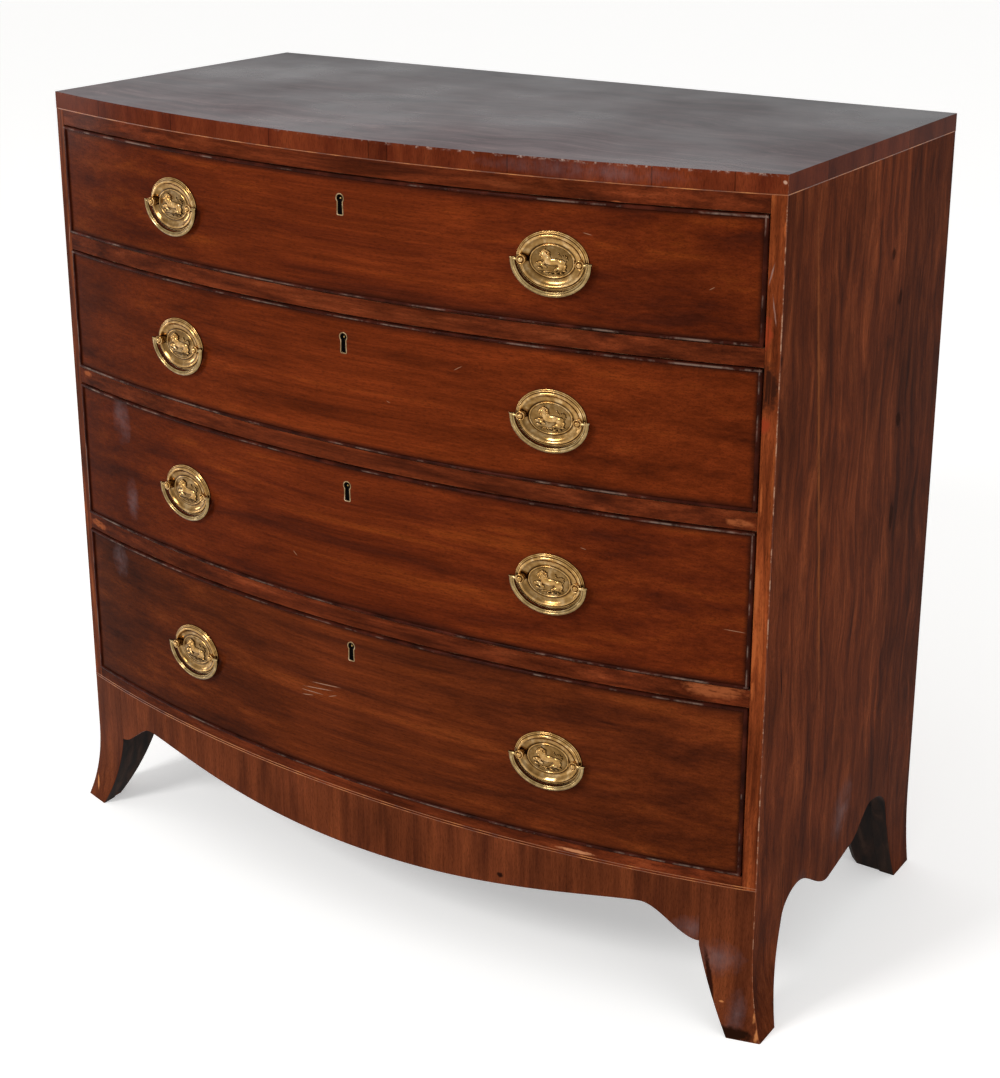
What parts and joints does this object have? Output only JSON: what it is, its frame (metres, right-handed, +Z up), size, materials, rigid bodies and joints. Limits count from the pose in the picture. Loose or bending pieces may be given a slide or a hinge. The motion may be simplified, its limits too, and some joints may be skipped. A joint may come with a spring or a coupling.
{
  "type": "bow front chest of drawers",
  "caption": "Mahogany chest with a bowed front, full width graduated drawers with brass bail handles, a shaped apron and outswept bracket feet.",
  "frame": {"origin": "on the floor plane, below the middle of the chest's overall width and depth", "axes": "+X to the right as seen from the front, +Y towards the back, +Z up"},
  "size_m": [1.036, 0.5246, 0.98],
  "materials": {
    "mahogany": "french polished, old and lightly worn",
    "dark_mahogany": "french polished with dark wax in the corners",
    "drawer_oak": "planed, unpolished and dry",
    "backboard_pine": "sawn and aged, unpolished",
    "handle_brass": "stamped and polished",
    "lock_brass": "cast and dulled"
  },
  "bodies": {
    "carcase": {"top_board": "mahogany", "side_left": "mahogany", "side_right": "mahogany", "back_panel": "backboard_pine", "bottom_board": "mahogany", "top_rail": "mahogany", "divider_1": "mahogany", "divider_2": "mahogany", "divider_3": "mahogany", "apron_front": "mahogany", "apron_left": "mahogany", "apron_right": "mahogany", "foot_front_left": "mahogany", "foot_front_right": "mahogany", "foot_back_left": "mahogany", "foot_back_right": "mahogany"},
    "drawer_1": {"drawer_1_front": "mahogany", "drawer_1_cockbead": "dark_mahogany", "drawer_1_side_left": "drawer_oak", "drawer_1_side_right": "drawer_oak", "drawer_1_bottom": "drawer_oak", "drawer_1_back": "drawer_oak", "drawer_1_lock": "lock_brass", "drawer_1_plate_left": "handle_brass", "drawer_1_plate_right": "handle_brass"},
    "bail_1_left": {"drawer_1_bail_left": "handle_brass"},
    "bail_1_right": {"drawer_1_bail_right": "handle_brass"},
    "drawer_2": {"drawer_2_front": "mahogany", "drawer_2_cockbead": "dark_mahogany", "drawer_2_side_left": "drawer_oak", "drawer_2_side_right": "drawer_oak", "drawer_2_bottom": "drawer_oak", "drawer_2_back": "drawer_oak", "drawer_2_lock": "lock_brass", "drawer_2_plate_left": "handle_brass", "drawer_2_plate_right": "handle_brass"},
    "bail_2_left": {"drawer_2_bail_left": "handle_brass"},
    "bail_2_right": {"drawer_2_bail_right": "handle_brass"},
    "drawer_3": {"drawer_3_front": "mahogany", "drawer_3_cockbead": "dark_mahogany", "drawer_3_side_left": "drawer_oak", "drawer_3_side_right": "drawer_oak", "drawer_3_bottom": "drawer_oak", "drawer_3_back": "drawer_oak", "drawer_3_lock": "lock_brass", "drawer_3_plate_left": "handle_brass", "drawer_3_plate_right": "handle_brass"},
    "bail_3_left": {"drawer_3_bail_left": "handle_brass"},
    "bail_3_right": {"drawer_3_bail_right": "handle_brass"},
    "drawer_4": {"drawer_4_front": "mahogany", "drawer_4_cockbead": "dark_mahogany", "drawer_4_side_left": "drawer_oak", "drawer_4_side_right": "drawer_oak", "drawer_4_bottom": "drawer_oak", "drawer_4_back": "drawer_oak", "drawer_4_lock": "lock_brass", "drawer_4_plate_left": "handle_brass", "drawer_4_plate_right": "handle_brass"},
    "bail_4_left": {"drawer_4_bail_left": "handle_brass"},
    "bail_4_right": {"drawer_4_bail_right": "handle_brass"}
  },
  "joints": [
    {"name": "drawer_1_slide", "type": "slide", "parent": "carcase", "child": "drawer_1", "axis": [0, -1, 0], "range_m": [0, 0.36]},
    {"name": "bail_1_left_swing", "type": "hinge", "parent": "drawer_1", "child": "bail_1_left", "pos_m": [-0.26293, -0.24723, 0.873], "axis": [-0.9896, 0.1439, 0], "range_deg": [0, 100]},
    {"name": "bail_1_right_swing", "type": "hinge", "parent": "drawer_1", "child": "bail_1_right", "pos_m": [0.26293, -0.24723, 0.873], "axis": [-0.9896, -0.1439, 0], "range_deg": [0, 100]},
    {"name": "drawer_2_slide", "type": "slide", "parent": "carcase", "child": "drawer_2", "axis": [0, -1, 0], "range_m": [0, 0.36]},
    {"name": "bail_2_left_swing", "type": "hinge", "parent": "drawer_2", "child": "bail_2_left", "pos_m": [-0.26293, -0.24723, 0.7025], "axis": [-0.9896, 0.1439, 0], "range_deg": [0, 100]},
    {"name": "bail_2_right_swing", "type": "hinge", "parent": "drawer_2", "child": "bail_2_right", "pos_m": [0.26293, -0.24723, 0.7025], "axis": [-0.9896, -0.1439, 0], "range_deg": [0, 100]},
    {"name": "drawer_3_slide", "type": "slide", "parent": "carcase", "child": "drawer_3", "axis": [0, -1, 0], "range_m": [0, 0.36]},
    {"name": "bail_3_left_swing", "type": "hinge", "parent": "drawer_3", "child": "bail_3_left", "pos_m": [-0.26293, -0.24723, 0.5155], "axis": [-0.9896, 0.1439, 0], "range_deg": [0, 100]},
    {"name": "bail_3_right_swing", "type": "hinge", "parent": "drawer_3", "child": "bail_3_right", "pos_m": [0.26293, -0.24723, 0.5155], "axis": [-0.9896, -0.1439, 0], "range_deg": [0, 100]},
    {"name": "drawer_4_slide", "type": "slide", "parent": "carcase", "child": "drawer_4", "axis": [0, -1, 0], "range_m": [0, 0.36]},
    {"name": "bail_4_left_swing", "type": "hinge", "parent": "drawer_4", "child": "bail_4_left", "pos_m": [-0.26293, -0.24723, 0.301], "axis": [-0.9896, 0.1439, 0], "range_deg": [0, 100]},
    {"name": "bail_4_right_swing", "type": "hinge", "parent": "drawer_4", "child": "bail_4_right", "pos_m": [0.26293, -0.24723, 0.301], "axis": [-0.9896, -0.1439, 0], "range_deg": [0, 100]}
  ]
}
